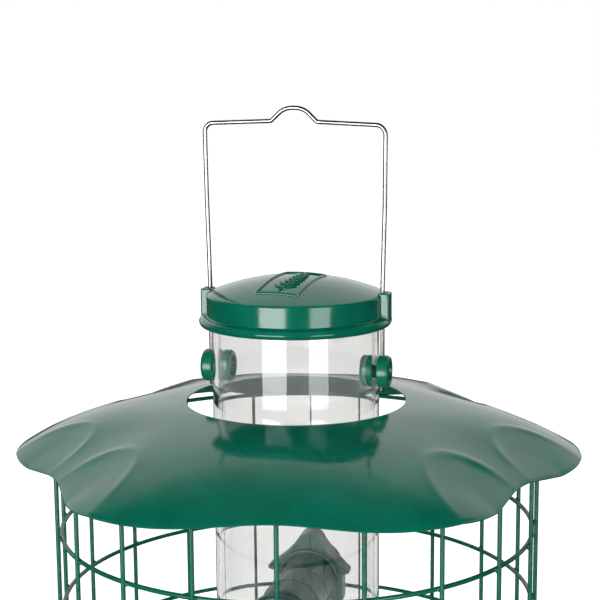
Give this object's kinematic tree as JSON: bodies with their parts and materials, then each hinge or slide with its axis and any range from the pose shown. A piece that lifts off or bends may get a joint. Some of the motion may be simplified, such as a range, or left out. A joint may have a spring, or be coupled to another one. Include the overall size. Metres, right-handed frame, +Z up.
{
  "type": "caged seed tube bird feeder",
  "caption": "Hanging clear seed tube in a round wire cage, with a six-lobed sheet-metal roof, a domed lid that slides up a wire bail, seed ports and a tray below",
  "frame": {"origin": "middle of the flat underside of the tray, which is the lowest face", "axes": "+Z up along the tube; -Y through the upper front seed port; +X through the right bail button"},
  "size_m": [0.2592, 0.249, 0.4097],
  "materials": {
    "clear_plastic": "clear glossy polycarbonate",
    "green_lid_plastic": "glossy moulded green plastic",
    "green_port_plastic": "satin dark green moulded plastic",
    "green_button_plastic": "satin moulded green plastic",
    "green_roof_enamel": "glossy green stove enamel on pressed steel",
    "green_cage_coat": "glossy green coating on welded steel wire",
    "bail_steel": "drawn bright steel wire",
    "zinc_fixings": "bright zinc-plated steel"
  },
  "bodies": {
    "feeder": {"bail_wire": "bail_steel", "base_bolt": "zinc_fixings", "base_screws": "zinc_fixings", "base_washer": "zinc_fixings", "button_inner_left": "green_button_plastic", "button_inner_right": "green_button_plastic", "button_outer_left": "green_button_plastic", "button_outer_right": "green_button_plastic", "cage_ring_1": "green_cage_coat", "cage_ring_2": "green_cage_coat", "cage_ring_3": "green_cage_coat", "cage_ring_4": "green_cage_coat", "cage_ring_5": "green_cage_coat", "cage_ring_6": "green_cage_coat", "cage_ring_7": "green_cage_coat", "cage_ring_8": "green_cage_coat", "cage_upright_01": "green_cage_coat", "cage_upright_02": "green_cage_coat", "cage_upright_03": "green_cage_coat", "cage_upright_04": "green_cage_coat", "cage_upright_05": "green_cage_coat", "cage_upright_06": "green_cage_coat", "cage_upright_07": "green_cage_coat", "cage_upright_08": "green_cage_coat", "cage_upright_09": "green_cage_coat", "cage_upright_10": "green_cage_coat", "cage_upright_11": "green_cage_coat", "cage_upright_12": "green_cage_coat", "cage_upright_13": "green_cage_coat", "cage_upright_14": "green_cage_coat", "cage_upright_15": "green_cage_coat", "cage_upright_16": "green_cage_coat", "cage_upright_17": "green_cage_coat", "cage_upright_18": "green_cage_coat", "cage_upright_19": "green_cage_coat", "cage_upright_20": "green_cage_coat", "deflector_cone": "green_port_plastic", "perch_lower": "green_port_plastic", "perch_upper": "green_port_plastic", "port_collar_lower_left": "green_port_plastic", "port_collar_lower_right": "green_port_plastic", "port_collar_upper_back": "green_port_plastic", "port_collar_upper_front": "green_port_plastic", "port_insert_lower": "green_port_plastic", "port_insert_upper": "green_port_plastic", "roof": "green_roof_enamel", "seed_tray": "green_cage_coat", "seed_tube": "clear_plastic", "tube_base": "green_port_plastic"},
    "lid": {"lid": "green_lid_plastic"},
    "wing_nut": {"wing_nut": "zinc_fixings"}
  },
  "joints": [
    {"name": "lid_slide", "type": "slide", "parent": "feeder", "child": "lid", "axis": [0, 0, 1], "range_m": [0, 0.064]},
    {"name": "wing_nut_spin", "type": "hinge", "parent": "feeder", "child": "wing_nut", "pos_m": [0, 0, 0.013], "axis": [0, 0, 1], "continuous": true}
  ]
}
